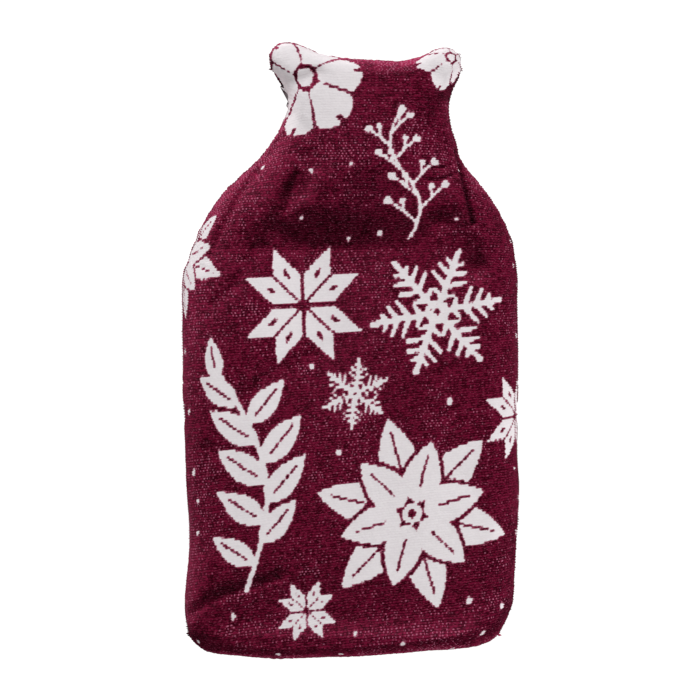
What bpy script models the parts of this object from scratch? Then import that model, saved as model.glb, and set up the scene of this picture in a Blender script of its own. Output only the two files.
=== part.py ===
# Hot water bottle cover: a hollow cloth pouch lying on its back, sewn from a front panel and two back panels
# that lap. Tables and sizes are in millimetres. +Y runs up to the neck, +X to the right, +Z out of the face.

import bmesh
import bpy
import numpy as np

MM = 0.001

CLOTH = 2.6  # thickness of the woven cloth
GAP = 0.3  # between two panels where they are sewn or lie on each other
HEM_LOW, HEM_HIGH = -30.0, 30.0  # the outer flap ends at the first height, the inner flap at the second
STEP_UP = 16.0  # the inner flap climbs onto the outer flap over this length

CLOTH_COLOUR = (0.165, 0.008, 0.040, 1.0)
CLOTH_ROUGHNESS = 0.9

# Edges of the cover at each height, between its four corners: height, left edge, right edge
SIDES = [
    (-158, -95.6, 91.5),
    (-145, -96.0, 95.6),
    (-117, -94.4, 97.3),
    (-88, -95.0, 99.0),
    (-58, -96.1, 98.0),
    (-29, -97.3, 98.5),
    (0, -97.6, 98.5),
    (28, -98.3, 98.2),
    (42, -97.8, 98.3),
    (53, -94.6, 97.3),
    (64, -90.3, 95.0),
    (76, -84.6, 89.9),
    (88, -76.6, 83.0),
    (99, -66.5, 74.4),
    (110, -54.8, 66.2),
    (122, -45.2, 62.2),
    (133, -38.9, 59.2),
    (142, -35.8, 58.1),
    (150, -37.6, 59.7),
    (158, -41.6, 63.2),
    (165, -46.0, 66.0),
]
# Bottom edge from the left corner to the right corner: x, y
BOTTOM = [
    (-92.8, -167.4),
    (-84.0, -175.4),
    (-70.0, -178.2),
    (-46.0, -179.9),
    (-20.0, -179.5),
    (10.0, -178.2),
    (38.0, -176.3),
    (62.0, -174.2),
    (77.0, -171.8),
    (86.4, -166.6),
]
# Top edge from the tip of the left ear, down between the ears, to the tip of the right ear: x, y
TOP = [
    (-46.8, 172.0),
    (-42.2, 178.4),
    (-33.6, 179.6),
    (-23.0, 175.6),
    (-12.0, 171.7),
    (2.0, 169.6),
    (18.0, 168.8),
    (31.0, 168.6),
    (41.5, 171.6),
    (50.0, 175.2),
    (58.0, 176.2),
    (64.4, 172.6),
]
# Cross-section at each level up the cover: height of the seam, rise of the face above it, width of its roll
LEVELS = [-180, -165, -140, 0, 58, 84, 110, 140, 165, 180]
SEAM = [14.0, 14.5, 15.0, 15.5, 15.0, 14.5, 14.0, 13.0, 12.0, 11.0]
RISE = [22.0, 24.0, 23.2, 23.2, 22.8, 25.2, 24.4, 22.6, 20.0, 16.0]
ROLL = [13.0, 14.0, 17.0, 19.0, 19.0, 18.0, 15.0, 13.0, 11.0, 10.0]
CROWN = 2.5  # further rise of the middle of the face
CROWN_REACH = 70.0  # distance from the edge at which the crown is full
UNDER_ROLL = 0.85  # width of the back's rolled edge, as a share of the seam's height

# Soft folds in the face: name, start, middle, end, width left and right of that walk, depth (ridges: negative)
FOLDS = [
    ("left shoulder valley", (-19, 117), (-29, 98), (-40, 70), 11.0, 7.0, 4.6),
    ("shoulder lump", (-17, 98), (-21, 90), (-25, 84), 6.0, 6.0, -1.2),
    ("left shoulder slope", (-50, 128), (-80, 99), (-100, 50), 26.0, 26.0, 8.0),
    ("right shoulder slope", (76, 118), (90, 98), (106, 62), 14.0, 14.0, 2.4),
    ("right shoulder crease", (63, 118), (69, 96), (75, 70), 5.5, 5.5, 2.6),
    ("left body groove", (-54, 58), (-64, 41), (-78, 27), 6.0, 5.0, 1.0),
    ("left neck groove", (-38, 141), (-31, 134), (-25, 127), 5.0, 5.5, 1.8),
    ("left ear tuck", (-43, 154), (-32, 155), (-20, 160), 5.0, 6.0, 2.6),
    ("right ear tuck", (48, 160), (57, 153), (61, 146), 6.0, 5.0, 2.2),
    ("middle groove", (-68, -30), (-40, -12), (-10, 3), 7.0, 8.0, 0.7),
]
# Single hollows in the face: name, middle, half width, reach below and above it, depth
HOLLOWS = [
    ("shoulder dip", (-14, 58), 40.0, 95.0, 15.0, 8.5),
    ("right shoulder dip", (46, 64), 20.0, 60.0, 12.0, 2.6),
    ("right neck", (48, 122), 10.0, 45.0, 28.0, 5.0),
    ("right body", (72, 46), 9.0, 8.0, 9.0, 3.0),
    ("lower left hollow", (-70, -149), 26.0, 13.0, 17.0, 4.6),
    ("lower right", (64, -74), 12.0, 10.0, 10.0, 1.0),
]

SPLINE_STEPS = 60  # outline samples between two rows of the tables
MIDDLE_LINE = 3  # sharpness of the distance along the pouch's middle: 1 is very round, 6 nearly a crease
STRAIGHT_EDGE = 4 / 3  # what a straight edge adds to the sum of distances at that sharpness

STRAIGHTEN = 10  # how soon a panel's rows straighten out from its curved ends
ROLL_STEPS = 5  # faces round each rolled edge
FACE_COLUMNS, BACK_COLUMNS = 22, 9  # faces across, between the rolled edges
BODY_STEP, SHOULDER_STEP, BACK_STEP, CLIMB_STEP = 10.0, 5.6, 14.0, 3.2  # lengths of the faces
SHOULDER = 40.0  # height at which the shoulders begin
FACE_END, BACK_END = 158.6, 159.4  # heights at which the top's roll begins, on the face and on the back


def closed_spline(points):
    """The smooth closed curve through the points, SPLINE_STEPS samples for each of them."""
    before, after, beyond = (np.roll(points, turn, axis=0) for turn in (1, -1, -2))
    t = (np.arange(SPLINE_STEPS) / SPLINE_STEPS)[:, None, None]
    curve = 0.5 * (
        2 * points
        + (after - before) * t
        + (2 * before - 5 * points + 4 * after - beyond) * t**2
        + (3 * points - before - 3 * after + beyond) * t**3
    )
    return curve.transpose(1, 0, 2).reshape(-1, 2)


def outline_edges():
    """The centred outline, anticlockwise, and its edges: bottom and top run to the right, the sides run up."""
    right = [(right, height) for height, left, right in SIDES]
    left = [(left, height) for height, left, right in SIDES]
    corners = np.cumsum([0, len(BOTTOM) - 1, len(SIDES) + 1, len(TOP) - 1, len(SIDES) + 1])
    outline = closed_spline(np.array(BOTTOM + right + TOP[::-1] + left[::-1], float))
    outline -= (outline.min(0) + outline.max(0)) / 2
    looped = np.vstack((outline, outline[:1]))
    bottom, right, top, left = (
        looped[start * SPLINE_STEPS : end * SPLINE_STEPS + 1] for start, end in zip(corners, corners[1:])
    )
    return outline, bottom, right, top[::-1], left[::-1]


OUTLINE, BOTTOM_EDGE, RIGHT_EDGE, TOP_EDGE, LEFT_EDGE = outline_edges()


def between(edge, axis, low, high):
    """The part of an edge between two values of x (axis 0) or y (axis 1). None keeps the edge's own end."""
    low = edge[0, axis] if low is None else low
    high = edge[-1, axis] if high is None else high

    def at(share):
        place = low + (high - low) * share
        other = np.interp(place, edge[:, axis], edge[:, 1 - axis])
        return np.column_stack((place, other) if axis == 0 else (other, place))

    return at


def hem(height):
    """A straight hem across the cover at this height."""
    left, right = (np.interp(height, edge[:, 1], edge[:, 0]) for edge in (LEFT_EDGE, RIGHT_EDGE))
    return lambda share: np.column_stack((left + (right - left) * share, np.full(len(share), height)))


def patch(bottom, right, top, left, across, along):
    """Plan points of a four-sided panel, columns by rows. Away from its curved ends the rows are straight."""
    u, v = across[:, None, None], along[None, :, None]
    plan = (1 - u) * left(along)[None] + u * right(along)[None]
    low, high = bottom(across)[:, None], top(across)[:, None]
    plan += (1 - v) ** STRAIGHTEN * (low - (1 - u) * low[0] - u * low[-1])
    plan += v**STRAIGHTEN * (high - (1 - u) * high[0] - u * high[-1])
    return plan


def edge_distance(plan):
    """Distance of each plan point from the outline, rounded off along the pouch's middle."""
    ahead = np.roll(OUTLINE, -1, axis=0)
    run = ahead - OUTLINE
    outward = np.column_stack((run[:, 1], -run[:, 0]))
    points = plan.reshape(-1, 1, 2)
    sight = (OUTLINE + ahead) / 2 - points
    reach = np.maximum(np.linalg.norm(sight, axis=2), 1e-6)
    total = ((sight * outward).sum(2) / reach ** (2 + MIDDLE_LINE)).sum(1)
    distance = (STRAIGHT_EDGE / np.maximum(total, 1e-9)) ** (1 / MIDDLE_LINE)
    return distance.reshape(plan.shape[:2])


def section(plan, row):
    """One row of the cross-section tables at each plan point's height."""
    return np.interp(plan[..., 1], LEVELS, row)


def rolled(distance, roll):
    """0 at the seam, rising upright and rounding over to 1 once past the rolled edge."""
    return np.sqrt(1 - (1 - np.clip(distance / roll, 0, 1)) ** 2)


def smooth_step(share):
    share = np.clip(share, 0, 1)
    return share * share * (3 - 2 * share)


def fold_depth(plan):
    """How far the folds press the face down at each plan point."""
    t = np.linspace(0, 1, 25)[:, None]
    depth = np.zeros(plan.shape[:2])
    for _, start, middle, end, left_width, right_width, fold in FOLDS:
        start, middle, end = (np.array(point, float) for point in (start, middle, end))
        bend = 2 * middle - (start + end) / 2
        line = (1 - t) ** 2 * start + 2 * t * (1 - t) * bend + t**2 * end
        run = (1 - t) * (bend - start) + t * (end - bend)
        run /= np.linalg.norm(run, axis=1, keepdims=True)
        sight = plan[:, :, None] - line
        away = np.linalg.norm(sight, axis=3)
        aside = sight[..., 0] * run[:, 1] - sight[..., 1] * run[:, 0]
        aside = np.take_along_axis(aside, away.argmin(2)[..., None], 2)[..., 0]
        side = smooth_step(0.5 + aside / (left_width + right_width))
        width = left_width + (right_width - left_width) * side
        depth += fold * np.exp(-((away.min(2) / width) ** 2))
    return depth


def hollow_depth(plan):
    """How far the single hollows press the face down at each plan point."""
    depth = np.zeros(plan.shape[:2])
    for _, middle, half_width, below, above, hollow in HOLLOWS:
        across, up = (plan - middle).transpose(2, 0, 1)
        depth += hollow * np.exp(-((across / half_width) ** 2) - (up / np.where(up < 0, below, above)) ** 2)
    return depth


def face_heights(plan, distance):
    """Heights of the front panel's outer skin."""
    rise = section(plan, RISE) + CROWN * smooth_step(distance / CROWN_REACH)
    rise -= fold_depth(plan) + hollow_depth(plan)
    return section(plan, SEAM) + GAP / 2 + rolled(distance, section(plan, ROLL)) * rise


def back_heights(plan, distance):
    """Heights of the back's outer skin, flat on the ground inside its rolled edge."""
    seam = section(plan, SEAM) - GAP / 2
    return seam * (1 - rolled(distance, UNDER_ROLL * seam))


def skin_of(plan, heights, sewn_edges):
    """The outer skin's points, with its sewn edges exactly on the outline."""
    distance = edge_distance(plan)
    for edge, _ in sewn_edges:
        distance[edge] = 0
    return np.dstack((plan, heights(plan, distance)))


def level_outward(edge):
    """Level unit vectors out of the panel along an edge that is walked with the panel on its left."""
    run = np.gradient(edge, axis=0)
    outward = np.column_stack((run[:, 1], -run[:, 0], np.zeros(len(run))))
    return outward / np.linalg.norm(outward, axis=1, keepdims=True)


def inward_of(skin, facing, sewn_edges):
    """Unit vectors from the outer skin into the pouch, level along the sewn edges: the rims meet squarely."""
    inward = -facing * np.cross(np.gradient(skin, axis=0), np.gradient(skin, axis=1))
    for edge, _ in sewn_edges:
        inward[edge] = 0
    for edge, walk in sewn_edges:
        inward[edge] -= level_outward(skin[edge][::walk])[::walk]
    return inward / np.linalg.norm(inward, axis=2, keepdims=True)


BOTTOM_ROW, TOP_ROW = (slice(None), 0), (slice(None), -1)
LEFT_COLUMN, RIGHT_COLUMN = (0, slice(None)), (-1, slice(None))
# Each sewn edge of a panel, and whether walking it with the panel on the left follows the grid (1 or -1)
SEWN_SIDES = [(LEFT_COLUMN, -1), (RIGHT_COLUMN, 1)]
SEWN_BOTTOM = [(BOTTOM_ROW, 1)]
SEWN_TOP = [(TOP_ROW, -1)]


def roll_shares(length, roll):
    """Shares of a length at which faces end round a rolled edge."""
    angles = np.linspace(0, np.pi / 2, ROLL_STEPS + 1)
    return roll * (1 - np.cos(angles)) / length


def across_shares(columns, roll):
    width = np.ptp(OUTLINE[:, 0])
    edge = roll_shares(width, roll)
    middle = np.linspace(edge[-1], 1 - edge[-1], columns + 1)[1:-1]
    return np.concatenate((edge, middle, 1 - edge[::-1]))


def along_shares(low, high, stops, last_step, low_roll=None, high_roll=None):
    """Shares up a panel between two heights. Stops are heights, each with the face length used up to it."""
    start = roll_shares(1, low_roll) + low if low_roll else np.array([low])
    end = high - roll_shares(1, high_roll)[::-1] if high_roll else np.array([high])
    heights = [start]
    for stop, step in (*stops, (end[0], last_step)):
        reached = heights[-1][-1]
        count = max(1, round((stop - reached) / step))
        heights.append(np.linspace(reached, stop, count + 1)[1:])
    heights.append(end[1:])
    return (np.concatenate(heights) - low) / (high - low)


def cloth_material(name):
    material = bpy.data.materials.new(name)
    material.use_nodes = True
    surface = material.node_tree.nodes["Principled BSDF"]
    surface.inputs["Base Color"].default_value = CLOTH_COLOUR
    surface.inputs["Roughness"].default_value = CLOTH_ROUGHNESS
    surface.inputs["Metallic"].default_value = 0.0
    return material


def cloth_panel(name, skin, inward):
    """A panel of cloth: the outer skin as a grid of faces, extruded into the pouch by its thickness."""
    columns, rows = skin.shape[:2]
    bm = bmesh.new()
    number = bm.verts.layers.int.new("number")
    grid = [bm.verts.new(point * MM) for point in skin.reshape(-1, 3)]
    for k, vert in enumerate(grid):
        vert[number] = k
    for i in range(columns - 1):
        for j in range(rows - 1):
            corners = (i * rows + j, (i + 1) * rows + j, (i + 1) * rows + j + 1, i * rows + j + 1)
            bm.faces.new([grid[corner] for corner in corners])
    inner = bmesh.ops.extrude_face_region(bm, geom=bm.faces[:])["geom"]
    thickness = inward.reshape(-1, 3) * CLOTH * MM
    for vert in inner:
        if isinstance(vert, bmesh.types.BMVert):
            vert.co += type(vert.co)(thickness[vert[number]])
    bmesh.ops.recalc_face_normals(bm, faces=bm.faces[:])
    mesh = bpy.data.meshes.new(name)
    bm.to_mesh(mesh)
    bm.free()
    mesh.shade_smooth()
    mesh.set_sharp_from_angle(angle=np.radians(50))
    mesh.materials.append(cloth_material(name))
    panel = bpy.data.objects.new(name, mesh)
    bpy.context.scene.collection.objects.link(panel)


def front_panel():
    edges = (between(BOTTOM_EDGE, 0, None, None), between(RIGHT_EDGE, 1, None, None))
    edges += (between(TOP_EDGE, 0, None, None), between(LEFT_EDGE, 1, None, None))
    stops = ((SHOULDER, BODY_STEP), (FACE_END, SHOULDER_STEP))
    along = along_shares(BOTTOM_EDGE[0, 1], TOP_EDGE[0, 1], stops, SHOULDER_STEP, ROLL[0], ROLL[-2])
    plan = patch(*edges, across_shares(FACE_COLUMNS, max(ROLL)), along)
    sewn = SEWN_SIDES + SEWN_BOTTOM + SEWN_TOP
    skin = skin_of(plan, face_heights, sewn)
    cloth_panel("front_panel", skin, inward_of(skin, 1, sewn))


def back_upper_panel():
    sides = (between(RIGHT_EDGE, 1, HEM_LOW, None), between(LEFT_EDGE, 1, HEM_LOW, None))
    top = between(TOP_EDGE, 0, None, None)
    stops = ((SHOULDER, BACK_STEP), (BACK_END, BODY_STEP))
    along = along_shares(HEM_LOW, TOP_EDGE[0, 1], stops, BODY_STEP, None, UNDER_ROLL * SEAM[-2])
    across = across_shares(BACK_COLUMNS, UNDER_ROLL * max(SEAM))
    plan = patch(hem(HEM_LOW), sides[0], top, sides[1], across, along)
    sewn = SEWN_SIDES + SEWN_TOP
    skin = skin_of(plan, back_heights, sewn)
    cloth_panel("back_upper_panel", skin, inward_of(skin, -1, sewn))


def back_lower_panel():
    sides = (between(RIGHT_EDGE, 1, None, HEM_HIGH), between(LEFT_EDGE, 1, None, HEM_HIGH))
    bottom = between(BOTTOM_EDGE, 0, None, None)
    step_end = HEM_LOW - 2 * GAP
    step_start = step_end - STEP_UP
    stops = ((step_start, BACK_STEP), (step_end, CLIMB_STEP))
    along = along_shares(BOTTOM_EDGE[0, 1], HEM_HIGH, stops, BACK_STEP, UNDER_ROLL * SEAM[0])
    across = across_shares(BACK_COLUMNS, UNDER_ROLL * max(SEAM))
    plan = patch(bottom, sides[0], hem(HEM_HIGH), sides[1], across, along)
    sewn = SEWN_SIDES + SEWN_BOTTOM
    skin = skin_of(plan, back_heights, sewn)
    inward = inward_of(skin, -1, sewn)
    climb = smooth_step((plan[..., 1] - step_start) / STEP_UP)
    skin += inward * (CLOTH + GAP) * climb[..., None]
    cloth_panel("back_lower_panel", skin, inward)


for old in list(bpy.data.objects):
    bpy.data.objects.remove(old)
front_panel()
back_upper_panel()
back_lower_panel()
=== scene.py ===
from math import pi, radians, tan

import bpy
import numpy as np
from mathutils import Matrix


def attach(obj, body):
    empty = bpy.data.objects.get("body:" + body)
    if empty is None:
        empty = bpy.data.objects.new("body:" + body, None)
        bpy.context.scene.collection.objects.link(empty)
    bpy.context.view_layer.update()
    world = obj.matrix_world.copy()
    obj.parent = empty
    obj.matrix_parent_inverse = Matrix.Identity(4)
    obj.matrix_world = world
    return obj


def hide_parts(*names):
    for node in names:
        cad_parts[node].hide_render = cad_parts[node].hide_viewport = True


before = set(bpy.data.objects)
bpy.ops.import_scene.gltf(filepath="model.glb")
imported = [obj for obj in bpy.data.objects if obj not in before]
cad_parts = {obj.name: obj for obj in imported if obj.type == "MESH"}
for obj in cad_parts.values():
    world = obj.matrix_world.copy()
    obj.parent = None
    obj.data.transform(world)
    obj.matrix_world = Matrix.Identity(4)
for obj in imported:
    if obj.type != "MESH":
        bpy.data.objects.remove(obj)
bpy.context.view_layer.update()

mm = 0.001
print("frame loaded, CAD nodes:", ", ".join(sorted(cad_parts)))

# Millimetres from here on, as in the solids: +Y to the neck, +X to the face's right, +Z out of the face
pouch = {
    "sides": [  # height, left edge, right edge
        (-158, -95.6, 91.5), (-145, -96.0, 95.6), (-117, -94.4, 97.3), (-88, -95.0, 99.0),
        (-58, -96.1, 98.0), (-29, -97.3, 98.5), (0, -97.6, 98.5), (28, -98.3, 98.2),
        (42, -97.8, 98.3), (53, -94.6, 97.3), (64, -90.3, 95.0), (76, -84.6, 89.9),
        (88, -76.6, 83.0), (99, -66.5, 74.4), (110, -54.8, 66.2), (122, -45.2, 62.2),
        (133, -38.9, 59.2), (142, -35.8, 58.1), (150, -37.6, 59.7), (158, -41.6, 63.2), (165, -46.0, 66.0),
    ],
    "bottom": [  # x, y from the left corner to the right one
        (-92.8, -167.4), (-84.0, -175.4), (-70.0, -178.2), (-46.0, -179.9), (-20.0, -179.5),
        (10.0, -178.2), (38.0, -176.3), (62.0, -174.2), (77.0, -171.8), (86.4, -166.6),
    ],
    "top": [  # x, y from the left ear, down between the ears, to the right ear
        (-46.8, 172.0), (-42.2, 178.4), (-33.6, 179.6), (-23.0, 175.6), (-12.0, 171.7), (2.0, 169.6),
        (18.0, 168.8), (31.0, 168.6), (41.5, 171.6), (50.0, 175.2), (58.0, 176.2), (64.4, 172.6),
    ],
    "height": [-180, -165, -140, 0, 58, 84, 110, 140, 165, 180],  # where the three rows below hold
    "seam": [14.0, 14.5, 15.0, 15.5, 15.0, 14.5, 14.0, 13.0, 12.0, 11.0],  # height of the seam
    "rise": [23.0, 24.2, 23.2, 23.0, 21.0, 23.2, 23.6, 23.4, 22.6, 19.0],  # of the face above the seam
    "roll": [6.0, 9.0, 17.0, 19.0, 19.0, 18.0, 15.0, 13.0, 10.0, 7.0],  # width of the face's rolled edge
    "underRoll": 0.85,  # width of the back's rolled edge, as a share of the seam's height
    "crown": 2.5,
    "crownReach": 70.0,
    "seamGap": 0.3,
    "splineSteps": 6,
}

weave = {
    "cellWide": 1.2,  # one picture point of the weave
    "cellParts": 4,  # samples of the design across it
    "ribPitch": 1.52,  # one chenille row
    "cells": (-108, 99),  # columns of cells across the face's cut, from the middle
    "ribs": (-141, 131),  # chenille rows up the face's cut, from the middle
    "backCells": (-93, 93),
    "ribRelief": 0.22,
    "whiteRelief": 0.09,
    "lumpRelief": 0.13,
    "coarse": (4, 8),  # columns and rows from one measured distance to the next
    "nearSeam": 14.0,  # how far in the seam's place is corrected
    "tuck": 1.6,  # how far each edge turns in behind the seam
    "grooveDepth": 0.7,  # of the seam
    "grooveWide": 1.1,
    "undulation": 0.55,
    "waves": ((24.0, 0.6), (11.0, 0.4)),  # size and share of the cloth's small waves
    "lean": 3.0,  # degrees of the face's columns, below leanBelow
    "leanBelow": 80.0,
    "leanEase": 40.0,
    "slant": (6, 4, 2, 0, -1),  # degrees by which the face's rows rise, at the heights of slantAt
    "slantAt": (-60, 0, 60, 120, 165),
    "paintedLightFrom": (-0.44, 0.87, 0.0),  # painted light: slopes that face this way, towards the key lamp, are painted paler
    "paintedLightGain": 1.08,
    "paintedShadeGain": 4.0,  # painted shade on slopes that face the foot, away from the light; it gets no darker past the least value below
    "paintedShadeLeast": -0.22,
    "rimPaintedSheen": 0.9,  # painted sheen: slopes steeper than the next value, on the rolled rim, are painted paler again
    "rimSheenFrom": -0.33,
    "footPaintedLight": 0.8,  # painted light: a band along the bottle's foot is painted paler
    "footLightHeight": -169.0,
    "footLightReach": 13.0,
    "footLightSide": (-98.0, -55.0),  # it fades out between these, towards the left corner
    "creasePaintedShade": 0.5,  # painted shade in a crease, for each millimetre of its depth
    "edgeRelief": 1.6,  # how much coarser the rows are at the seam
    "edgeSink": 0.45,  # and how far they lie inside of the outline there
}


def smoothLoop(points, steps):  # a spline through the points
    before, after, beyond = (np.roll(points, turn, axis=0) for turn in (1, -1, -2))
    t = (np.arange(steps) / steps)[:, None, None]
    curve = 2 * points + (after - before) * t + (2 * before - 5 * points + 4 * after - beyond) * t**2
    curve = (curve + (3 * points - before - 3 * after + beyond) * t**3) / 2
    return curve.transpose(1, 0, 2).reshape(-1, 2)


def pouchOutline():  # anticlockwise, seen on its face
    right = [(right, height) for height, left, right in pouch["sides"]]
    left = [(left, height) for height, left, right in pouch["sides"]]
    corners = pouch["bottom"] + right + pouch["top"][::-1] + left[::-1]
    loop = smoothLoop(np.array(corners, float), pouch["splineSteps"])
    return loop - (loop.min(0) + loop.max(0)) / 2


def section(y, name):
    return np.interp(y, pouch["height"], pouch[name])


def widened(loop, extraAt):  # the cut's outline: a rolled edge takes more cloth than it covers
    run = np.roll(loop, -1, axis=0) - np.roll(loop, 1, axis=0)
    outward = np.column_stack((run[:, 1], -run[:, 0])) / np.hypot(run[:, 0], run[:, 1])[:, None]
    return loop + outward * extraAt(loop[:, 1])[:, None]


def edgeDistance(x, y, loop):  # from the loop, positive inside, rounded off along the pouch's middle
    run = np.roll(loop, -1, axis=0) - loop
    length = np.hypot(run[:, 0], run[:, 1])
    tx, ty = (run / length[:, None]).T
    total = np.empty(x.size)
    flatX, flatY = x.ravel(), y.ravel()
    smallest, chunk = 0.01, 4000
    for start in range(0, x.size, chunk):
        sightX = loop[:, 0] - flatX[start : start + chunk, None]
        sightY = loop[:, 1] - flatY[start : start + chunk, None]
        level = sightX * ty - sightY * tx
        level = np.where(np.abs(level) < smallest, np.copysign(smallest, level), level)
        along = sightX * tx + sightY * ty
        near = along / np.hypot(along, level)
        far = (along + length) / np.hypot(along + length, level)
        share = (3 * far - far**3 - 3 * near + near**3) / (3 * level * level * level)
        total[start : start + chunk] = share.sum(1)
    distance = np.sign(total) * (4 / 3 / np.maximum(np.abs(total), 1e-12)) ** (1 / 3)
    return distance.reshape(x.shape)


def inwardSlope(x, y, distance):  # unit vectors in plan, along which the distance grows
    (xa, xb), (ya, yb), (da, db) = np.gradient(x), np.gradient(y), np.gradient(distance)
    slopeX, slopeY = da * yb - db * ya, db * xa - da * xb
    size = np.maximum(np.hypot(slopeX, slopeY), 1e-9) * np.sign(xa * yb - xb * ya)
    return slopeX / size, slopeY / size


def smoothStep(share):
    share = np.clip(share, 0, 1)
    return share * share * (3 - 2 * share)


def softNoise(x, y, size, seed):  # smooth hills and hollows from -1 to 1
    cells = 96
    lattice = np.random.default_rng(seed).uniform(-1, 1, (cells + 1, cells + 1))
    x, y = x / size + cells // 2, y / size + cells // 2
    i, j = np.floor(x).astype(int) % cells, np.floor(y).astype(int) % cells
    u, v = smoothStep(x - np.floor(x)), smoothStep(y - np.floor(y))
    low = lattice[i, j] * (1 - u) + lattice[i + 1, j] * u
    high = lattice[i, j + 1] * (1 - u) + lattice[i + 1, j + 1] * u
    return low * (1 - v) + high * v


def clothWaves(x, y, seed):
    (wide, wideShare), (narrow, narrowShare) = weave["waves"]
    return softNoise(x, y, wide, seed) * wideShare + softNoise(x, y, narrow, seed + 1) * narrowShare


# Broad folds of the face: name, start, middle, end, width on the left and on the right of that walk, depth
folds = [
    ("left shoulder valley", (-34, 89), (-38, 80), (-41, 71), 15, 6, 3.0),
    ("upper valley", (-26, 108), (-30, 98), (-34, 88), 12, 6, 1.7),
    ("shoulder lump", (-17, 98), (-21, 90), (-25, 84), 6, 6, -1.2),
    ("left shoulder slope", (-56, 128), (-87, 99), (-108, 36), 26, 26, 4.5),
    ("left shoulder fall", (-76, 126), (-98, 110), (-124, 82), 40, 40, 12.5),
    ("right shoulder slope", (76, 118), (90, 98), (106, 62), 14, 14, 2.4),
    ("left body groove", (-54, 58), (-64, 41), (-78, 27), 5, 3.5, 1.0),
    ("left neck groove", (-38, 141), (-31, 134), (-25, 127), 3, 5, 1.1),
    ("left ear tuck", (-43, 154), (-32, 155), (-20, 160), 4, 6, 2.6),
    ("right ear tuck", (48, 160), (57, 153), (61, 146), 6, 4, 2.2),
    ("middle groove", (-68, -30), (-40, -12), (-10, 3), 4.5, 8, 0.7),
    ("lower left side", (-83, -58), (-84, -84), (-83, -112), 5, 5, 0.9),
]
# Single hollows of the face: name, middle, half width, reach below and above, depth
hollows = [
    ("shoulder dip", (-21, 58), 34, 95, 15, 7.9),
    ("right shoulder dip", (46, 64), 20, 60, 12, 2.2),
    ("under the lump", (6, 84), 18, 40, 16, 2.3),
    ("right neck", (48, 122), 10, 45, 28, 5.0),
    ("right shoulder", (52, 74), 6, 5, 7, 1.6),
    ("right body", (72, 46), 9, 6, 9, 3.0),
    ("lower left fall", (-74, -170), 33, 20, 26, 2.3),
    ("lower right", (64, -74), 12, 9, 9, 1.0),
    ("upper centre", (4, 44), 9, 5, 6, 0.7),
]
# Narrow creases pressed into the face: as the folds
creases = [
    ("left shoulder line", (-31, 101), (-35, 91), (-39, 81), 2.2, 2.0, 0.7),
    ("right shoulder crease", (63, 115), (67, 94), (71, 73), 1.3, 1.7, 3.0),
    ("upper neck wrinkle", (43, 107), (52, 105), (62, 109), 1.1, 1.1, 0.5),
    ("lower neck wrinkle", (41, 100), (51, 98), (62, 103), 1.1, 1.1, 0.6),
    ("left shoulder crease", (-40, 125), (-64, 91), (-85, 48), 2.5, 2.5, 1.1),
    ("lower left crease", (-93, -153), (-76, -143), (-42, -132), 4.5, 2.0, 1.1),
    ("bottom crease", (-80, -173), (-30, -175), (30, -173), 1.6, 1.6, 0.3),
]


def foldDepth(x, y, walks):  # each walk is a bend through its three points
    depth = np.zeros(x.shape)
    steps = np.linspace(0, 1, 25)  # places tried along it for the nearest
    for _, start, middle, end, leftWidth, rightWidth, fold in walks:
        start, middle, end = (np.array(point, float) for point in (start, middle, end))
        bend = 2 * middle - (start + end) / 2
        nearest, aside = np.full(x.shape, 1e9), np.zeros(x.shape)
        for share in steps:
            px, py = (1 - share) ** 2 * start + 2 * share * (1 - share) * bend + share**2 * end
            tx, ty = (1 - share) * (bend - start) + share * (end - bend)
            away = (x - px) ** 2 + (y - py) ** 2
            closer = away < nearest
            nearest = np.where(closer, away, nearest)
            aside = np.where(closer, ((x - px) * ty - (y - py) * tx) / np.hypot(tx, ty), aside)
        side = smoothStep(0.5 + aside / (leftWidth + rightWidth))
        width = leftWidth + (rightWidth - leftWidth) * side
        depth += fold * np.exp(-nearest / width**2)
    return depth


def hollowDepth(x, y):
    depth = np.zeros(x.shape)
    for _, middle, halfWidth, below, above, hollow in hollows:
        across, up = x - middle[0], y - middle[1]
        depth += hollow * np.exp(-((across / halfWidth) ** 2) - (up / np.where(up < 0, below, above)) ** 2)
    return depth


def faceGrain(a, b):  # plan places of the face's own columns and rows, which lie a little askew
    drop = np.maximum(0, weave["leanBelow"] - b)
    x = a + tan(radians(weave["lean"])) * drop**2 / (drop + weave["leanEase"])
    slope = np.interp(b, weave["slantAt"], [tan(radians(rise)) for rise in weave["slant"]])
    return x, b + slope * a


def weaveGrid(cells, ribs):  # corner lines of the weave: one column for each cell, two rows for each rib
    a = np.arange(cells[0], cells[1] + 1) * weave["cellWide"]
    b = np.arange(2 * ribs[0], 2 * ribs[1] + 1) * weave["ribPitch"] / 2
    return np.meshgrid(a, b, indexing="ij")


def spread(coarse, steps, shape):  # fills a grid from every few of its lines
    for axis in (0, 1):
        full, known = np.arange(shape[axis]), np.arange(0, shape[axis], steps[axis])
        coarse = np.apply_along_axis(lambda line: np.interp(full, known, line), axis, coarse)
    return coarse


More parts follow.
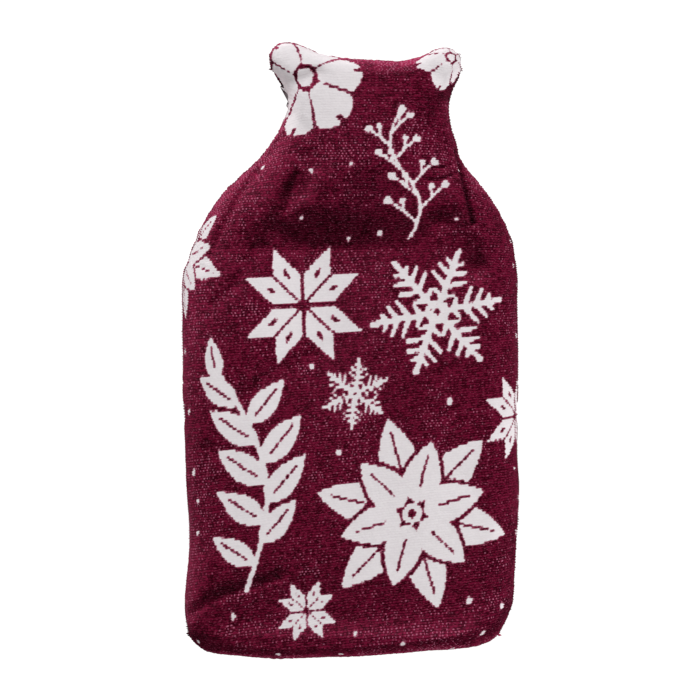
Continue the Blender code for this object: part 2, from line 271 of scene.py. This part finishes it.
def rolledSheet(x, y, loop, rollAt, riseAt):
    def arcAt(height):  # length of the rolled edge, a quarter of an oval
        return pi / 2 * np.sqrt((rollAt(height) ** 2 + riseAt(height) ** 2) / 2)

    cut = widened(loop, lambda height: arcAt(height) - rollAt(height))
    distance = edgeDistance(x, y, cut)
    inX, inY = inwardSlope(x, y, distance)
    arc, roll = arcAt(y), rollAt(y)
    held = np.maximum(distance, -weave["tuck"])
    turn = np.clip(held / arc, 0, 1) * pi / 2
    reach = np.where(held < 0, -held, roll * (1 - np.cos(turn)) + np.maximum(0, held - arc))
    reach += weave["grooveDepth"] * np.exp(-((np.maximum(held, 0) / weave["grooveWide"]) ** 2))
    shift = arc - roll + reach - distance
    x, y = x + inX * shift, y + inY * shift
    # the seam comes exactly onto the outline, also where the outline is hollow
    steps = weave["coarse"]
    some = (slice(None, None, steps[0]), slice(None, None, steps[1]))
    inside = spread(edgeDistance(x[some], y[some], loop), steps, x.shape)
    shift = (reach - inside) * np.exp(-((reach / weave["nearSeam"]) ** 2))
    x, y, inside = x + inX * shift, y + inY * shift, inside + shift
    keep = distance > -weave["tuck"]
    return {"x": x, "y": y, "turn": turn, "keep": keep, "in": (inX, inY), "inside": inside}


def outwardNormals(points, facing):
    normal = facing * np.cross(np.gradient(points, axis=0), np.gradient(points, axis=1))
    return normal / np.maximum(np.linalg.norm(normal, axis=2, keepdims=True), 1e-9)


# painted light and shade: a colour factor from how each slope faces the key lamp, paler towards it, darker
# towards the foot, paler again at the rim
def paintedSlopeShading(normals):
    pale = weave["paintedLightGain"] * np.maximum(0, normals @ np.array(weave["paintedLightFrom"]))
    dark = weave["paintedShadeGain"] * np.clip(normals[..., 1], weave["paintedShadeLeast"], 0)
    rim = weave["rimPaintedSheen"] * np.maximum(0, weave["rimSheenFrom"] - normals[..., 1])
    return np.exp(pale + dark + rim)


def yarnRelief(shape, white, seed):  # height of each corner of the weave over the cloth's mean face
    rows = np.arange(shape[1])
    amount = np.where(white, weave["whiteRelief"], weave["ribRelief"])
    amount = np.pad(np.repeat(amount, 2, axis=1), ((0, 1), (0, 1)), mode="edge")
    crest = np.where(rows % 2 == 1, 1.0, -1.0)
    lumps = np.random.default_rng(seed).uniform(-1, 1, shape) * weave["lumpRelief"]
    return amount * crest + lumps * (crest > 0)


def planToWeave(point):  # the place on the weave that lies over a place in plan
    a, b = point
    for _ in range(6):  # each round comes nearer
        x, y = faceGrain(np.float64(a), np.float64(b))
        a, b = a + point[0] - x, b + point[1] - y
    return a, b


def turned(u, v, degrees):
    c, s = np.cos(radians(degrees)), np.sin(radians(degrees))
    return u * c + v * s, v * c - u * s


# Each motif is drawn about its middle, or up from its foot, at a size of 1
def eightStar(u, v, gap=0.035, side=0.5, windowAt=0.27, windowHalf=0.055):
    p, q = np.maximum(abs(u), abs(v)), np.minimum(abs(u), abs(v))
    petal = (q > gap) & (p - q > gap) & (p - q < side) & (q < side)
    window = (abs(p - q - windowAt) < windowHalf) & (abs(q - windowAt) < windowHalf)
    return petal & ~window


def sector(u, v, count):  # folds the plane so that each arm lies along the first axis
    angle, reach = np.arctan2(v, u), np.hypot(u, v)
    step = 2 * pi / count
    angle = (angle + step / 2) % step - step / 2
    return reach * np.cos(angle), abs(reach * np.sin(angle))


def branch(along, across, start, length, lean, halfWidth):
    c, s = np.cos(radians(lean)), np.sin(radians(lean))
    run = (along - start) * c + across * s
    off = abs((along - start) * s - across * c)
    return (run > 0) & (run < length) & (off < halfWidth * (1.25 - 0.5 * run / length))


def snowCrystal(u, v, arm=0.98, branches=((0.24, 0.20), (0.42, 0.33), (0.60, 0.27), (0.76, 0.16))):
    along, across = sector(u, v, 6)
    shape = (along < arm) & (across < 0.042)
    for start, length in branches:
        shape |= branch(along, across, start, length, 60, 0.034)
    shape |= (along > 0.10) & (along < 0.17)  # six-sided ring
    shape |= (abs(along - arm) + across * 1.2) < 0.07  # diamond at each tip
    return shape & (np.hypot(u, v) > 0.05)


def pointedPetal(along, across, first, last, wide):
    share = np.clip((along - first) / (last - first), 0, 1)
    return (along > first) & (along < last) & (across < wide * np.sin(pi * share**0.72) ** 0.85)


def veinedPetal(along, across, petal, vein):  # petal and vein: first, last and half width
    first, last, wide = vein
    return pointedPetal(along, across, *petal) & ~((across < wide) & (along > first) & (along < last))


def starFlower(u, v):  # six petals before six longer ones
    along, across = sector(u, v, 6)
    before = veinedPetal(along, across, (0.12, 0.74, 0.185), (0.26, 0.60, 0.013))
    rim = pointedPetal(along, across, 0.10, 0.80, 0.225)  # the dark line round them
    behind = veinedPetal(*sector(*turned(u, v, 30), 6), (0.22, 1.0, 0.20), (0.42, 0.86, 0.014))
    reach = np.hypot(u, v)
    eye = (reach < 0.10) & (reach > 0.045)
    return (behind & ~rim) | before | eye


def leaf(u, v, base, lean, length, wide, vein):
    along, across = turned(u - base[0], v - base[1], lean)
    share = np.clip(along / length, 0, 1)
    blade = (along > 0) & (along < length) & (abs(across) < wide * np.sin(pi * share**0.8) ** 0.9)
    return blade & ~((abs(across) < vein) & (share > 0.18) & (share < 0.8))


def leafSprig(u, v, leaves=9, bow=0.16, size=0.24, first=0.12, run=0.80, lean=48, vein=0.006):
    shape = (v > 0) & (v < 1) & (abs(u - bow * np.sin(pi * v)) < 0.011)  # stem
    for k in range(leaves):
        at = first + run * k / leaves
        base = (bow * np.sin(pi * at), at)
        side = 1 if k % 2 else -1
        length = size * (0.62 + 0.5 * np.sin(pi * (0.15 + 0.75 * at)))  # the longest are in the middle
        shape |= leaf(u, v, base, 90 - side * lean, length, length * 0.23, vein)
    return shape | leaf(u, v, (0, 0.95), 92, size * 0.8, size * 0.17, vein)


def berryTwig(u, v, twigs=8, bow=0.10, first=0.12, run=0.80, lean=48, sag=0.35, berry=0.030):
    shape = (v > 0) & (v < 1) & (abs(u - bow * np.sin(2 * pi * v)) < 0.014 - 0.005 * v)  # stem
    for k in range(twigs):
        at = first + run * k / twigs
        side = 1 if k % 2 else -1
        base = (bow * np.sin(2 * pi * at), at)
        length = 0.30 - 0.12 * at
        along, across = turned(u - base[0], v - base[1], 90 - side * lean)
        across = across + side * sag * along * (along - length)
        shape |= (along > 0) & (along < length) & (abs(across) < 0.010)
        shape |= np.hypot(along - length, across) < berry
        forkAlong, forkAcross = turned(along - 0.45 * length, across, side * 42)  # with a smaller berry
        shape |= (forkAlong > 0) & (forkAlong < 0.08) & (abs(forkAcross) < 0.009)
        shape |= np.hypot(forkAlong - 0.09, forkAcross) < 0.8 * berry
    return shape | (np.hypot(u, v - 1.0) < berry)


def plainFlower(u, v):  # broad petals round a plain eye
    along, across = sector(u, v, 6)
    share = np.clip(along, 0, 1)
    petal = (along > 0.22) & (across < 0.40 * np.sin(pi * share**1.7) ** 0.6) & (across < 0.52 * along)
    notch = (along > 0.84) & (across < 0.05)
    return (petal & ~notch) | (np.hypot(u, v) < 0.15)


# Motif, middle (or foot) on the face, size, turn
faceDesign = [
    (eightStar, (-27, 26), 33, 0),
    (starFlower, (36, -94), 57, 12),
    (snowCrystal, (50, 22), 38, 8),
    (leafSprig, (-60, -140), 128, 5),
    (snowCrystal, (3, -25), 20, 20),
    (eightStar, (-25, -150), 17, 0),
    (plainFlower, (-26, 157), 34, 12),
    (plainFlower, (61, 172), 24, 10),
    (berryTwig, (34, 64), 76, 3),
    (starFlower, (-108, 56), 36, 8),
    (eightStar, (103, -38), 25, 0),
]

snow = {
    "tries": 260,
    "radius": (0.9, 1.7),
    "margin": 0.9,  # dots keep away from each motif as if it were a little larger
    "clear": 7.0,
    "apart": 10.0,
    "squash": 0.8,
    "wobble": (0.4, 0.3),  # of a motif's edge, along and across the rows
}


def drawn(design, toWeave, a, b, seed):  # which parts of the cells are white
    chance = np.random.default_rng(seed)
    sideways, upright = snow["wobble"]
    a = a + chance.uniform(-sideways, sideways, (1, a.shape[1]))
    b = b + chance.uniform(-upright, upright, b.shape)
    white = np.zeros(a.shape, bool)
    near = np.zeros(a.shape, bool)  # too near for a snow dot
    for motif, place, size, turn in design:
        middle = toWeave(place)
        u, v = turned((a - middle[0]) / size, (b - middle[1]) / size, turn)
        white |= motif(u, v)
        near |= motif(u * snow["margin"], v * snow["margin"])
    for _ in range(snow["tries"]):  # stray snow dots, away from the motifs
        place = chance.uniform((a.min(), b.min()), (a.max(), b.max()))
        radius = chance.uniform(*snow["radius"])
        reach = np.hypot(a - place[0], b - place[1])
        if not (near & (reach < snow["clear"])).any():
            white |= np.hypot(a - place[0], (b - place[1]) * snow["squash"]) < radius
            near |= reach < snow["apart"]
    return white


def addNode(tree, kind, inputs=(), **settings):
    node = tree.nodes.new(kind)
    for name, value in settings.items():
        setattr(node, name, value)
    for socket, value in dict(inputs).items():
        if isinstance(value, bpy.types.NodeSocket):
            tree.links.new(value, node.inputs[socket])
        else:
            node.inputs[socket].default_value = value
    return node


def calc(tree, operation, *values, clamp=False):
    node = addNode(tree, "ShaderNodeMath", enumerate(values), operation=operation, use_clamp=clamp)
    return node.outputs[0]


def blendColour(tree, share, first, second):
    node = addNode(tree, "ShaderNodeMix", {0: share, 6: first, 7: second}, data_type="RGBA")
    return node.outputs[2]


def centred(tree, value, amount):  # a value from 0 to 1, made to swing about 0
    return calc(tree, "MULTIPLY_ADD", value, amount, -amount / 2)


def ramp(tree, value, low, high):  # 0 at the first, 1 at the second
    return addNode(tree, "ShaderNodeMapRange", {0: value, 1: low, 2: high}).outputs[0]


def noise(tree, vector, scale, detail):
    inputs = {"Vector": vector, "Scale": scale, "Detail": detail}
    return addNode(tree, "ShaderNodeTexNoise", inputs).outputs["Fac"]


def attribute(tree, name):
    return addNode(tree, "ShaderNodeAttribute", attribute_name=name).outputs["Fac"]


chenille = {
    "burgundy": (0.138, 0.0050, 0.0255, 1),
    # painted shade: the deep colours are what the grooves between rows are painted
    "burgundyDeep": (0.030, 0.0005, 0.0042, 1),
    "white": (0.73, 0.69, 0.705, 1),
    "whiteDeep": (0.655, 0.61, 0.63, 1),
    "paleCoreAndLitPink": (0.52, 0.15, 0.25, 1),  # the yarn's pale centre, which shows in dashes, and the painted pink highlight of lit slopes
    "coreShare": 0.8,
    "dashMiddle": (0.5, 0.25),  # spread and least of a dash's middle, in lumps
    "dashHalf": (0.22, 0.12),  # and of half its length
    "dashFull": 0.04,  # it has its full strength this far from its middle
    "dashCrest": (0.45, 0.9),  # and comes up between these, from groove to row
    "dashPatch": (2.0, -1.2),  # more of them in patches
    "dashRow": 0.5,  # some rows have more
    "dashLitSlope": 0.7,  # and so have slopes painted paler by light
    "dashRamp": (0.45, 0.95),
    "fringe": (0.46, 0.13, 0.21, 1),  # where red and white yarns lie side by side
    "fringeShare": 0.8,
    "fringeRamp": (0.10, 0.42),
    "whiteRamp": (0.40, 0.66),
    "cellShare": 0.2,  # how far a motif's edge follows its hard cells
    "fray": (0.6, 0.9),  # of that edge, by fuzz and by flecks
    "lump": 2.2,  # millimetres of yarn between its binding twists
    "lumpShift": (0.43, 0.5),  # from row to row, and by chance
    "sway": 0.9,  # of a row, up and down
    "swayScale": 130.0,
    "swayLump": 1.3,
    "fuzzScale": 2600.0,
    "fleckScale": (560.0, 1700.0),  # along and across the rows
    "streakScale": (200.0, 7.31),  # along the rows, and from row to row
    "patchScale": 34.0,
    "crestShade": (0.75, 0.05),  # slope and start of the painted groove shade, from groove to row
    "lumpTone": 0.7,
    "fuzzTone": 1.6,
    "fleckTone": 2.6,
    "streakTone": 1.8,
    "swellTone": (0.4, -0.26),  # and from binding twist to lump
    # painted highlight: slopes painted paler also turn pinker
    "paintedLightPink": 0.07,
    "paleTone": (0.5, 0.5),  # slope and start of the tone of white yarn, which carries the painted groove shade too
    "bump": 0.45,  # millimetres
    "redBump": 0.7,
    "whiteBump": 0.25,
    "roundness": 0.8,  # of a row's crest
    "swellHeight": (0.3, 0.4),
    "fuzzHeight": 0.7,
    "fleckHeight": 0.9,
    "chanceHeight": 0.25,
    "sheenTint": (1.0, 0.12, 0.30, 1),
    "sheen": 0.12,
    "sheenRoughness": 0.45,
    "roughness": 0.92,
    "specular": 0.01,
}


def yarnParts(tree):  # rows and lumps of yarn along the weave, and the noises that make them uneven
    split = addNode(tree, "ShaderNodeUVMap", uv_map="weave").outputs[0]
    split = addNode(tree, "ShaderNodeSeparateXYZ", {0: split})
    place = addNode(tree, "ShaderNodeTexCoord").outputs["Object"]
    sway = centred(tree, noise(tree, place, chenille["swayScale"], 1.0), chenille["sway"])
    rows = calc(tree, "DIVIDE", split.outputs[1], weave["ribPitch"] * mm)
    rows = calc(tree, "ADD", rows, sway)
    row = calc(tree, "FLOOR", rows)
    rowPhase = calc(tree, "FRACT", rows)
    rowChance = addNode(tree, "ShaderNodeTexWhiteNoise", {"W": row}, noise_dimensions="1D").outputs["Value"]
    shiftEach, shiftChance = chenille["lumpShift"]
    rowShift = calc(tree, "MULTIPLY", row, shiftEach)
    lumps = calc(tree, "DIVIDE", split.outputs[0], chenille["lump"] * mm)
    lumps = calc(tree, "ADD", lumps, calc(tree, "MULTIPLY_ADD", rowChance, shiftChance, rowShift))
    lumps = calc(tree, "ADD", lumps, calc(tree, "MULTIPLY", sway, chenille["swayLump"]))
    lumpPhase = calc(tree, "FRACT", lumps)
    cell = addNode(tree, "ShaderNodeCombineXYZ", {0: calc(tree, "FLOOR", lumps), 1: row}).outputs[0]
    chance = addNode(tree, "ShaderNodeTexWhiteNoise", {"Vector": cell}, noise_dimensions="2D").outputs
    along = calc(tree, "MULTIPLY", split.outputs[0], chenille["fleckScale"][0])
    across = calc(tree, "MULTIPLY", split.outputs[1], chenille["fleckScale"][1])
    fleck = addNode(tree, "ShaderNodeCombineXYZ", {0: along, 1: across}).outputs[0]
    along = calc(tree, "MULTIPLY", split.outputs[0], chenille["streakScale"][0])
    across = calc(tree, "MULTIPLY", row, chenille["streakScale"][1])
    streak = addNode(tree, "ShaderNodeCombineXYZ", {0: along, 1: across}).outputs[0]
    return {
        "crest": calc(tree, "SINE", calc(tree, "MULTIPLY", rowPhase, pi)),  # 0 in the groove, 1 on the row
        "swell": calc(tree, "SINE", calc(tree, "MULTIPLY", lumpPhase, pi)),  # 0 at a binding twist
        "lumpPhase": lumpPhase,
        "rowChance": rowChance,
        "chance": chance["Value"],
        "chances": addNode(tree, "ShaderNodeSeparateColor", {0: chance["Color"]}).outputs,
        "fuzz": noise(tree, place, chenille["fuzzScale"], 3.0),
        "fleck": noise(tree, fleck, 1.0, 2.0),
        "streak": noise(tree, streak, 1.0, 1.0),
        "patch": noise(tree, place, chenille["patchScale"], 2.0),
    }


def motifEdges(tree, yarn):  # white share and fringe: the pile rounds and frays a white cell's corners
    hard, soft = attribute(tree, "motif"), attribute(tree, "motifSoft")
    hard = calc(tree, "MULTIPLY", hard, chenille["cellShare"])
    motif = calc(tree, "ADD", hard, calc(tree, "MULTIPLY", soft, 1 - chenille["cellShare"]))
    for name, amount in zip(("fuzz", "fleck"), chenille["fray"]):
        motif = calc(tree, "ADD", motif, centred(tree, yarn[name], amount))
    return ramp(tree, motif, *chenille["whiteRamp"]), ramp(tree, motif, *chenille["fringeRamp"])


def yarnToneAndGrooveShade(tree, yarn):  # painted shade in the grooves between rows, brighter rows, each lump of yarn a little different
    tone = centred(tree, yarn["chance"], chenille["lumpTone"])
    for name in ("fuzz", "fleck", "streak"):
        tone = calc(tree, "ADD", tone, centred(tree, yarn[name], chenille[name + "Tone"]))
    tone = calc(tree, "ADD", tone, calc(tree, "MULTIPLY_ADD", yarn["swell"], *chenille["swellTone"]))
    crest = calc(tree, "MULTIPLY_ADD", yarn["crest"], *chenille["crestShade"])
    return calc(tree, "ADD", crest, tone, clamp=True)


def paleDashes(tree, yarn, paintedShading):  # one for each lump of yarn, and how strongly it shows, which is more on slopes painted paler by light
    middle = calc(tree, "MULTIPLY_ADD", yarn["chances"][0], *chenille["dashMiddle"])
    away = calc(tree, "ABSOLUTE", calc(tree, "SUBTRACT", yarn["lumpPhase"], middle))
    half = calc(tree, "MULTIPLY_ADD", yarn["chances"][2], *chenille["dashHalf"])
    dash = ramp(tree, away, half, chenille["dashFull"])
    dash = calc(tree, "MULTIPLY", dash, ramp(tree, yarn["crest"], *chenille["dashCrest"]))
    patch = calc(tree, "MULTIPLY_ADD", yarn["patch"], *chenille["dashPatch"])
    some = calc(tree, "ADD", yarn["chances"][1], patch)
    some = calc(tree, "ADD", some, centred(tree, yarn["rowChance"], chenille["dashRow"]))
    # painted highlight: more dashes where the slope is painted paler
    slope = calc(tree, "MULTIPLY_ADD", paintedShading, chenille["dashLitSlope"], -chenille["dashLitSlope"])
    some = ramp(tree, calc(tree, "ADD", some, slope), *chenille["dashRamp"])
    return calc(tree, "MULTIPLY", calc(tree, "MULTIPLY", dash, some), chenille["coreShare"])


def pileHeight(tree, yarn):
    swell = calc(tree, "MULTIPLY_ADD", yarn["swell"], *chenille["swellHeight"])
    pile = calc(tree, "MULTIPLY", calc(tree, "POWER", yarn["crest"], chenille["roundness"]), swell)
    for name in ("fuzz", "fleck", "chance"):
        pile = calc(tree, "ADD", pile, calc(tree, "MULTIPLY", yarn[name], chenille[name + "Height"]))
    return pile


def chenilleMaterial():
    material = bpy.data.materials.new("chenilleCloth")
    material.use_nodes = True
    tree = material.node_tree
    surface = tree.nodes["Principled BSDF"]
    yarn = yarnParts(tree)
    motif, fringe = motifEdges(tree, yarn)
    share = yarnToneAndGrooveShade(tree, yarn)

    # painted light and shade of the slopes, multiplied into the red yarn's colour
    paintedShading = attribute(tree, "paintedShading")
    # the grooves take the deep colour: painted groove shade
    red = blendColour(tree, share, chenille["burgundyDeep"], chenille["burgundy"])
    red = addNode(tree, "ShaderNodeVectorMath", {0: red, "Scale": paintedShading}, operation="SCALE").outputs[0]
    # painted highlight: the paler lit slopes are tinted pink
    litPinkShare = calc(tree, "MULTIPLY_ADD", paintedShading, chenille["paintedLightPink"], -chenille["paintedLightPink"], clamp=True)
    red = blendColour(tree, litPinkShare, red, chenille["paleCoreAndLitPink"])
    red = blendColour(tree, paleDashes(tree, yarn, paintedShading), red, chenille["paleCoreAndLitPink"])
    fringe = calc(tree, "MULTIPLY", fringe, chenille["fringeShare"])
    red = blendColour(tree, fringe, red, chenille["fringe"])
    paleShare = calc(tree, "MULTIPLY_ADD", share, *chenille["paleTone"], clamp=True)
    pale = blendColour(tree, paleShare, chenille["whiteDeep"], chenille["white"])
    tree.links.new(blendColour(tree, motif, red, pale), surface.inputs["Base Color"])

    less = chenille["whiteBump"] - chenille["redBump"]
    strength = calc(tree, "MULTIPLY_ADD", motif, less, chenille["redBump"])
    height = {"Height": pileHeight(tree, yarn), "Distance": chenille["bump"] * mm, "Strength": strength}
    tree.links.new(addNode(tree, "ShaderNodeBump", height).outputs[0], surface.inputs["Normal"])

    surface.inputs["Roughness"].default_value = chenille["roughness"]
    surface.inputs["Specular IOR Level"].default_value = chenille["specular"]
    surface.inputs["Sheen Weight"].default_value = chenille["sheen"]
    surface.inputs["Sheen Roughness"].default_value = chenille["sheenRoughness"]
    surface.inputs["Sheen Tint"].default_value = chenille["sheenTint"]
    return material


def makeSheet(name, points, keep, a, b, design, paintedShading, facing, material):
    columns, rows = points.shape[:2]
    index = np.arange(columns * rows).reshape(columns, rows)
    quads = np.stack((index[:-1, :-1], index[1:, :-1], index[1:, 1:], index[:-1, 1:]), axis=-1)
    touched = keep[:-1, :-1] | keep[1:, :-1] | keep[1:, 1:] | keep[:-1, 1:]
    quads = quads[touched][:, ::facing]  # turned round where the cloth faces down
    motif = np.repeat(whiteCells(design), 2, axis=1)[touched]
    used, compact = np.unique(quads, return_inverse=True)
    quads = compact.reshape(-1, 4)
    mesh = bpy.data.meshes.new(name)
    mesh.from_pydata(points.reshape(-1, 3)[used] * mm, [], quads.tolist())
    grain = np.column_stack((a.ravel()[used], b.ravel()[used])) * mm
    uv = mesh.uv_layers.new(name="weave")
    uv.data.foreach_set("uv", grain[quads.ravel()].astype(np.float32).ravel())
    mesh.attributes.new("motif", "FLOAT", "FACE").data.foreach_set("value", motif.astype(np.float32))
    soft = mesh.attributes.new("motifSoft", "FLOAT", "POINT")
    soft.data.foreach_set("value", softened(design).ravel()[used].astype(np.float32))
    # the painted light and shade of each corner, read by the material
    tone = mesh.attributes.new("paintedShading", "FLOAT", "POINT")
    tone.data.foreach_set("value", paintedShading.ravel()[used].astype(np.float32))
    mesh.materials.append(material)
    mesh.shade_smooth()
    mesh.validate()
    sheet = bpy.data.objects.new(name, mesh)
    bpy.context.scene.collection.objects.link(sheet)
    print(name, "has", 2 * len(quads), "triangles, white share", round(float(motif.mean()), 3))
    return sheet


def declare(sheet, node):
    grain = np.empty(2 * len(sheet.data.loops), np.float32)
    sheet.data.uv_layers["weave"].data.foreach_get("uv", grain)
    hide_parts(node)
    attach(sheet, "root")


def cellParts(a, b):  # places at which the design is read, several across each cell
    shares = (np.arange(weave["cellParts"]) + 0.5) / weave["cellParts"]
    parts = a[:-1, 1::2, None] + shares * weave["cellWide"]
    low = np.broadcast_to(b[:-1, 1::2, None], parts.shape)
    return [grid.transpose(0, 2, 1).reshape(-1, parts.shape[1]) for grid in (parts, low)]


def whiteCells(parts):
    return parts.reshape(-1, weave["cellParts"], parts.shape[1]).mean(1) > 0.5


def softened(parts):  # white share round each corner of the weave, on the rows and in the grooves
    reach = weave["cellParts"] // 2
    rows = np.pad(parts.astype(float), ((reach, reach), (0, 0)), mode="edge")
    rows = rows.reshape(-1, 2 * reach, rows.shape[1]).mean(1)
    corners = np.empty((rows.shape[0], 2 * rows.shape[1] + 1))
    corners[:, 1::2] = rows
    corners[:, 2:-1:2] = (rows[:, 1:] + rows[:, :-1]) / 2
    corners[:, [0, -1]] = rows[:, [0, -1]]
    return corners


def frontCloth(loop, material):
    a, b = weaveGrid(weave["cells"], weave["ribs"])
    x, y = faceGrain(a, b)
    bent = rolledSheet(x, y, loop, lambda y: section(y, "roll"), lambda y: section(y, "rise"))
    x, y, turn = bent["x"], bent["y"], bent["turn"]
    crown = pouch["crown"] * smoothStep(bent["inside"] / pouch["crownReach"])
    rise = section(y, "rise") + crown - foldDepth(x, y, folds) - hollowDepth(x, y)
    z = section(y, "seam") + pouch["seamGap"] / 2 + rise * np.sin(turn)
    points = np.dstack((x, y, z))
    pressed = foldDepth(x, y, creases) * np.sin(turn) ** 0.5
    points -= outwardNormals(points, 1) * pressed[..., None]
    normals = outwardNormals(points, 1)
    design = drawn(faceDesign, planToWeave, *cellParts(a, b), seed=5)
    white = whiteCells(design)
    waves = clothWaves(x, y, seed=1)
    edge = np.cos(turn) ** 3
    coarser = 1 + weave["edgeRelief"] * edge
    relief = waves * weave["undulation"] + yarnRelief(x.shape, white, seed=3) * coarser
    relief -= (weave["ribRelief"] * coarser + weave["edgeSink"]) * edge
    points += normals * relief[..., None]
    # painted light and shade from the slopes, darkened further by painted shade in the creases
    tone = paintedSlopeShading(normals) * np.exp(-weave["creasePaintedShade"] * pressed)
    # painted light: a paler band along the foot, fading out towards the left corner
    foot = np.exp(-(((y - weave["footLightHeight"]) / weave["footLightReach"]) ** 2))
    foot *= smoothStep((x - weave["footLightSide"][0]) / np.ptp(weave["footLightSide"]))
    tone *= 1 + weave["footPaintedLight"] * foot
    return makeSheet("frontCloth", points, bent["keep"], a, b, design, tone, 1, material)


def backCloth(name, loop, ribs, course, design, seed, material):
    a, b = weaveGrid(weave["backCells"], ribs)
    y, inset, groove = course(b)
    low, pitch = b[0, 0], weave["ribPitch"] / 2
    under = pouch["underRoll"]
    bent = rolledSheet(a, b, loop, lambda y: under * section(y, "seam"), lambda y: section(y, "seam"))
    seam = section(bent["y"], "seam") - pouch["seamGap"] / 2
    z = seam * (1 - np.sin(bent["turn"]))
    flat = np.dstack((bent["x"], bent["y"], z, bent["turn"], *bent["in"], bent["keep"]))
    line = (y[0] - low) / pitch  # the cloth line of the unfolded sheet under each line of the folded one
    known = np.arange(flat.shape[1])
    flat = np.apply_along_axis(lambda row: np.interp(line, known, row), 1, flat)
    x, y, z, turn, inX, inY, keep = flat.transpose(2, 0, 1)
    inward = np.dstack((inX * np.cos(turn), inY * np.cos(turn), np.sin(turn)))
    points = np.dstack((x, y, z)) + inward * inset[..., None]
    design = drawn(design, lambda point: point, *cellParts(a, b), seed)
    white = whiteCells(design)
    waves = clothWaves(x, y, seed)
    relief = waves * weave["undulation"] * (1 - np.sin(turn)) + yarnRelief(x.shape, white, seed + 2)
    relief -= weave["ribRelief"] + weave["lumpRelief"] + groove
    normals = outwardNormals(points, -1)
    points += normals * relief[..., None]
    whole = keep > 0.999  # the folded lines lie between two lines of the flat sheet
    # the back gets the same painted slope light and shade
    return makeSheet(name, points, whole, a, b, design, paintedSlopeShading(normals), -1, material)


# The outer flap of the back is hemmed at its foot and lies over the top of the inner flap
flaps = {
    "outerEnd": -30.0,  # height of the hem's folded edge
    "hemRadius": 1.3,
    "stitch": 11.0,  # from the folded edge
    "stitchDepth": 0.6,
    "lift": 2.9,  # of the inner flap, where it lies on the hem
    "liftRun": 16.0,
    "liftClear": 0.6,  # from the end of that run to the hem
    "outerRibs": (-31, 127),
    "innerRibs": (-133, 20),
}


def outerCourse(b):  # height in plan, distance inside of the back's face, and stitched groove
    past = np.maximum(0, flaps["outerEnd"] - b)
    bend = np.minimum(past / flaps["hemRadius"], pi)
    back = np.maximum(0, past - flaps["hemRadius"] * pi)
    y = np.maximum(b, flaps["outerEnd"]) - flaps["hemRadius"] * np.sin(bend) + back
    fromStitch = y - flaps["outerEnd"] - flaps["stitch"]
    groove = np.where(past > 0, 0, flaps["stitchDepth"] * np.exp(-(fromStitch**2)))
    return y, flaps["hemRadius"] * (1 - np.cos(bend)), groove


def innerCourse(b):
    start = flaps["outerEnd"] - flaps["liftRun"] - flaps["liftClear"]
    return b, flaps["lift"] * smoothStep((b - start) / flaps["liftRun"]), np.zeros(b.shape)


outerDesign = [
    (snowCrystal, (-44, 36), 30, 0),
    (eightStar, (36, 70), 25, 0),
    (snowCrystal, (18, 8), 20, 12),
    (eightStar, (12, 138), 17, 0),
    (snowCrystal, (66, -4), 17, 24),
]
innerDesign = [
    (eightStar, (-52, -96), 27, 0),
    (snowCrystal, (38, -128), 32, 6),
    (snowCrystal, (-6, -66), 17, 0),
]

outline = pouchOutline()
cloth = chenilleMaterial()
front = frontCloth(outline, cloth)
declare(front, "front_panel")
print("front cloth made")

outer = backCloth("outerBackCloth", outline, flaps["outerRibs"], outerCourse, outerDesign, 20, cloth)
declare(outer, "back_upper_panel")
inner = backCloth("innerBackCloth", outline, flaps["innerRibs"], innerCourse, innerDesign, 30, cloth)
declare(inner, "back_lower_panel")
print("back cloths made")

studio = {
    "floorSize": 8.0,
    "floorDrop": 0.0005,  # so that the cloth doesn't share its plane
    "floorColour": (0.10, 0.10, 0.10, 1),
    "floorRoughness": 0.9,
    "floorGlow": 1.0,
    "skyStrength": 0.40,
    "keyPlace": (-1.1, 2.8, 1.75),
    "keySize": 1.6,
    "keyPower": 96.0,
    "fillPlace": (1.15, -0.6, 0.5),
    "fillSize": 0.8,
    "fillPower": 13.0,
    "sensor": 36.0,
    "cameraHeight": 1.5,
    "frameWide": 0.4091,  # metres across the picture at the seam's height
    "seamHeight": 0.015,
}


def addLight(name, place, size, power):
    bpy.ops.object.light_add(type="AREA", location=place)
    light = bpy.context.object
    light.name = name
    light.data.size = size
    light.data.energy = power
    direction = -light.location
    light.rotation_euler = direction.to_track_quat("-Z", "Y").to_euler()


def studioSet():
    bpy.ops.object.select_all(action="DESELECT")
    bpy.ops.mesh.primitive_plane_add(size=studio["floorSize"], location=(0, 0, -studio["floorDrop"]))
    floor = bpy.context.object
    floor.name = "floor"
    material = bpy.data.materials.new("paleFloor")
    material.use_nodes = True
    surface = material.node_tree.nodes["Principled BSDF"]
    surface.inputs["Base Color"].default_value = studio["floorColour"]
    surface.inputs["Roughness"].default_value = studio["floorRoughness"]
    surface.inputs["Emission Color"].default_value = (1, 1, 1, 1)
    surface.inputs["Emission Strength"].default_value = studio["floorGlow"]
    floor.data.materials.append(material)

    addLight("key", studio["keyPlace"], studio["keySize"], studio["keyPower"])
    addLight("fill", studio["fillPlace"], studio["fillSize"], studio["fillPower"])

    world = bpy.data.worlds.new("studio")
    bpy.context.scene.world = world
    world.use_nodes = True
    world.node_tree.nodes["Background"].inputs[0].default_value = (1, 1, 1, 1)
    world.node_tree.nodes["Background"].inputs[1].default_value = studio["skyStrength"]
    bpy.context.scene.view_settings.view_transform = "Standard"

    bpy.ops.object.camera_add(location=(0, 0, studio["cameraHeight"]))
    camera = bpy.context.object
    camera.rotation_euler = (0, 0, 0)
    camera.data.sensor_width = studio["sensor"]
    distance = studio["cameraHeight"] - studio["seamHeight"]
    camera.data.lens = studio["sensor"] * distance / studio["frameWide"]
    bpy.context.scene.camera = camera


studioSet()
print("studio set")
